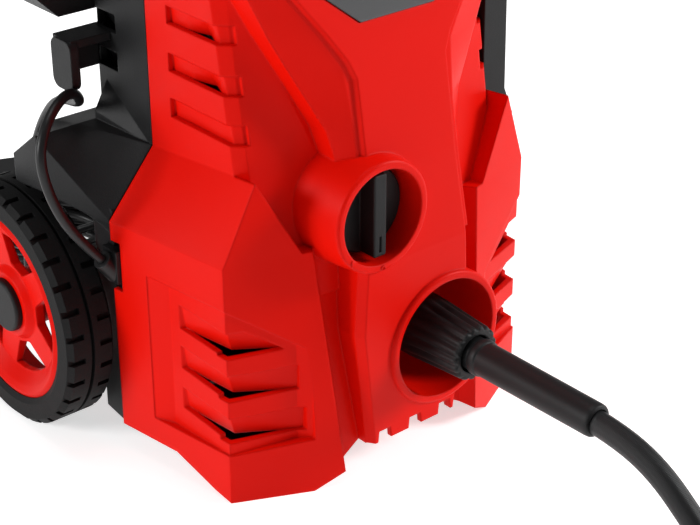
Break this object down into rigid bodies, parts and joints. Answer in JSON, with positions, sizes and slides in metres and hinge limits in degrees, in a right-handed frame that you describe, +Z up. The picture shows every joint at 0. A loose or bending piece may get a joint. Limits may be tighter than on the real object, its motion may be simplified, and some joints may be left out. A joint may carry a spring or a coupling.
{
  "type": "pressure washer",
  "caption": "Compact wheeled electric pressure washer: two-shell housing with recessed outlet and rotary switch, telescopic handle, motor and axial piston pump inside, hose and mains lead.",
  "frame": {"origin": "middle of the washer's footprint on the floor, without the hose and the mains lead", "axes": "+Z up, front with the outlet and the switch is -Y, +X is the machine's left seen from behind (right seen from the front)"},
  "size_m": [0.2861, 0.737, 0.472],
  "materials": {
    "red_plastic": "fine satin moulded ABS, light grain",
    "black_plastic": "fine spark-eroded grain, semi-matt",
    "badge_grey": "smooth dark grey, soft gloss",
    "tyre_rubber": "solid rubber, greyed sidewall",
    "hose_rubber": "rubber with a faint braid pattern",
    "lead_pvc": "smooth PVC sheath, soft sheen",
    "soft_rubber": "matt damping rubber",
    "steel_tube": "drawn tube, satin",
    "steel": "turned steel",
    "spring_steel": "bright spring wire",
    "lamination": "stacked electrical steel",
    "copper": "enamelled copper",
    "brass": "machined brass",
    "cast_alloy": "die-cast, bead-blasted",
    "nylon": "natural nylon"
  },
  "bodies": {
    "housing": {"axle": "steel", "badge_plate": "badge_grey", "base_plate": "black_plastic", "brush_holders": "black_plastic", "capacitor": "cast_alloy", "case_screws": "steel", "front_shell": "red_plastic", "gear_case": "cast_alloy", "guide_tubes": "black_plastic", "gun_holster": "black_plastic", "hose_coil": "hose_rubber", "hose_end_fitting": "brass", "hose_sleeve": "soft_rubber", "hose_stem": "steel", "hose_tube": "hose_rubber", "inlet_connector": "black_plastic", "inlet_filter": "nylon", "lance_clip": "black_plastic", "lance_pocket": "black_plastic", "latch_spring": "spring_steel", "lead_coil": "lead_pvc", "lead_gland": "lead_pvc", "lead_tube": "lead_pvc", "lower_bearing": "steel", "mains_plug": "lead_pvc", "motor_mounts": "soft_rubber", "outlet_connector": "brass", "piston_springs": "spring_steel", "pistons": "steel", "power_switch": "black_plastic", "pump_body": "cast_alloy", "pump_head": "cast_alloy", "rear_shell": "black_plastic", "spring_seat": "black_plastic", "stator_core": "lamination", "stator_windings": "copper", "top_cover": "black_plastic", "top_end_shield": "cast_alloy", "unloader_valve": "brass", "upper_bearing": "steel", "valve_plugs": "brass"},
    "wheel_left": {"wheel_rim_left": "red_plastic", "tyre_left": "tyre_rubber", "hub_cap_left": "black_plastic"},
    "wheel_right": {"wheel_rim_right": "red_plastic", "tyre_right": "tyre_rubber", "hub_cap_right": "black_plastic"},
    "handle": {"handle_tubes": "steel_tube", "handle_grip": "black_plastic"},
    "latch": {"latch_button": "black_plastic"},
    "knob": {"switch_knob": "black_plastic"},
    "hook": {"cord_hook": "black_plastic"},
    "nut": {"hose_nut": "black_plastic"},
    "rotor": {"motor_shaft": "steel", "armature_core": "lamination", "commutator": "copper", "cooling_fan": "nylon", "motor_pinion": "steel"},
    "pump_drive": {"driven_gear": "steel", "swash_shaft": "steel"}
  },
  "joints": [
    {"name": "wheel_left_spin", "type": "hinge", "parent": "housing", "child": "wheel_left", "pos_m": [-0.1203, 0.0515, 0.064], "axis": [1, 0, 0], "continuous": true},
    {"name": "wheel_right_spin", "type": "hinge", "parent": "housing", "child": "wheel_right", "pos_m": [0.1203, 0.0515, 0.064], "axis": [1, 0, 0], "continuous": true},
    {"name": "handle_slide", "type": "slide", "parent": "housing", "child": "handle", "axis": [0, 0, 1], "range_m": [0, 0.15]},
    {"name": "latch_press", "type": "slide", "parent": "housing", "child": "latch", "axis": [0, 0, -1], "range_m": [0, 0.005], "stiffness_N_per_m": 900, "springref_m": -0.002, "deforming": ["latch_spring"]},
    {"name": "knob_turn", "type": "hinge", "parent": "housing", "child": "knob", "pos_m": [-0.024, -0.102, 0.141], "axis": [0, 1, 0], "range_deg": [0, 48]},
    {"name": "hook_turn", "type": "hinge", "parent": "housing", "child": "hook", "pos_m": [0, 0.043, 0.262], "axis": [0, 1, 0], "range_deg": [0, 180]},
    {"name": "nut_spin", "type": "hinge", "parent": "housing", "child": "nut", "pos_m": [0.0185, -0.116, 0.0616], "axis": [0, 1, 0], "continuous": true},
    {"name": "rotor_spin", "type": "hinge", "parent": "housing", "child": "rotor", "pos_m": [0, -0.012, 0.2], "axis": [0, 0, 1], "continuous": true},
    {"name": "pump_spin", "type": "hinge", "parent": "housing", "child": "pump_drive", "pos_m": [0.03042, -0.02956, 0.13], "axis": [0, 0, 1], "continuous": true}
  ],
  "couplings": [
    {"joint": "pump_spin", "follows": "rotor_spin", "ratio": -0.33333}
  ]
}
